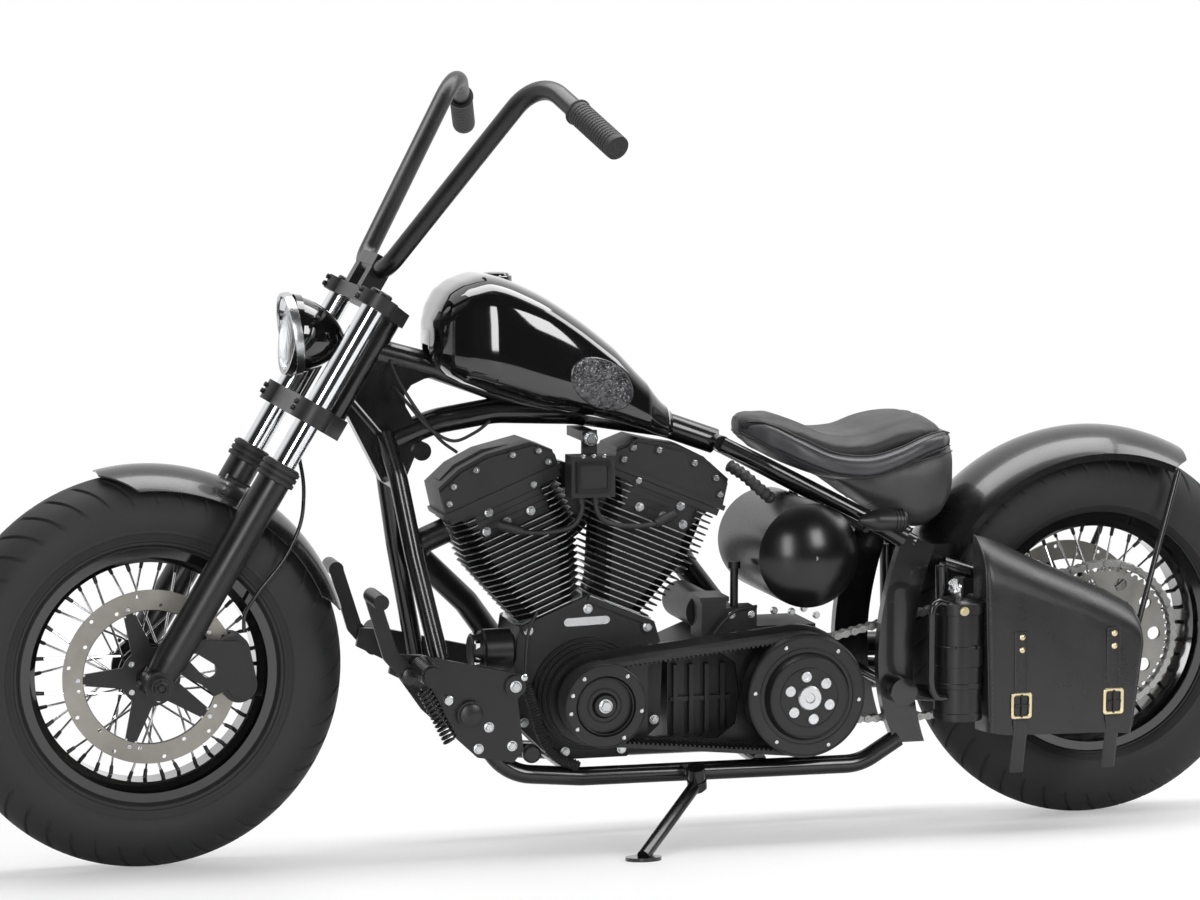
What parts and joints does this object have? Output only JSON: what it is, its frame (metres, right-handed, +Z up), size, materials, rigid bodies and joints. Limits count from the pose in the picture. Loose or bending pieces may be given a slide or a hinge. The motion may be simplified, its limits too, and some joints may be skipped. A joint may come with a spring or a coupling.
{
  "type": "chopper motorcycle",
  "caption": "Rigid-look V-twin chopper leaning on its side stand, with tall bars, spoked wheels, open belt primary drive, solo seat and a side bag.",
  "frame": {"origin": "on the ground under the middle of the machine's length and width, as it leans on its side stand", "axes": "+X forward, +Y to the rider's left, +Z up"},
  "size_m": [2.3558, 0.9635, 1.3497],
  "materials": {
    "black_paint": "gloss",
    "frame_paint": "satin",
    "matt_black": "matt",
    "chrome": "polished",
    "clamp_metal": "satin",
    "tyre_rubber": "matt",
    "rim_black": "gloss",
    "steel": "brushed",
    "rubber": "matt",
    "leather": "grained",
    "lens_glass": "clear"
  },
  "bodies": {
    "frame": {"air_cleaner": "matt_black", "cam_cover": "matt_black", "canister": "matt_black", "clutch": "matt_black", "coil_box": "matt_black", "crankcase": "matt_black", "drive_chain": "steel", "engine_pulley": "matt_black", "exhaust_pipes": "matt_black", "fender_stays": "chrome", "frame_cradle": "frame_paint", "frame_spine": "frame_paint", "front_cylinder": "matt_black", "front_rocker_box": "matt_black", "fuel_tank": "black_paint", "gearbox": "matt_black", "left_controls": "matt_black", "oil_filter": "matt_black", "oil_tank": "matt_black", "primary_belt": "rubber", "primary_plate": "matt_black", "rear_axle": "steel", "rear_caliper": "matt_black", "rear_cylinder": "matt_black", "rear_fender": "black_paint", "rear_frame": "frame_paint", "rear_rocker_box": "matt_black", "right_controls": "matt_black", "saddlebag": "leather", "seat": "leather", "seat_skirt": "frame_paint", "swingarm": "frame_paint"},
    "fork": {"upper_clamp": "clamp_metal", "lower_clamp": "clamp_metal", "fork_tubes": "chrome", "fork_sliders": "matt_black", "front_axle": "steel", "handlebar": "matt_black", "grips": "rubber", "bar_risers": "matt_black", "headlight": "matt_black", "headlight_lens": "lens_glass", "lamp_post": "matt_black", "front_fender": "black_paint", "front_caliper": "matt_black", "brake_hose": "rubber"},
    "front_wheel": {"front_tyre": "tyre_rubber", "front_rim": "rim_black", "front_hub": "steel", "front_disc": "steel"},
    "rear_wheel": {"rear_tyre": "tyre_rubber", "rear_rim": "rim_black", "rear_hub": "steel", "rear_sprocket": "steel", "rear_disc": "steel"},
    "side_stand": {"side_stand": "matt_black"}
  },
  "joints": [
    {"name": "steering", "type": "hinge", "parent": "frame", "child": "fork", "pos_m": [0.48783, -0.04202, 0.81587], "axis": [-0.515, 0.0896, 0.8525], "range_deg": [-32, 28]},
    {"name": "front_wheel_spin", "type": "hinge", "parent": "fork", "child": "front_wheel", "pos_m": [0.84397, -0.09091, 0.33234], "axis": [-0.0299, 0.992, -0.1223], "continuous": true},
    {"name": "rear_wheel_spin", "type": "hinge", "parent": "frame", "child": "rear_wheel", "pos_m": [-0.844, -0.09282, 0.33256], "axis": [0, 0.9945, -0.1045], "continuous": true},
    {"name": "side_stand_fold", "type": "hinge", "parent": "frame", "child": "side_stand", "pos_m": [-0.075, 0.04016, 0.10541], "axis": [0.1549, 0.4412, 0.8839], "range_deg": [0, 124.4]}
  ]
}
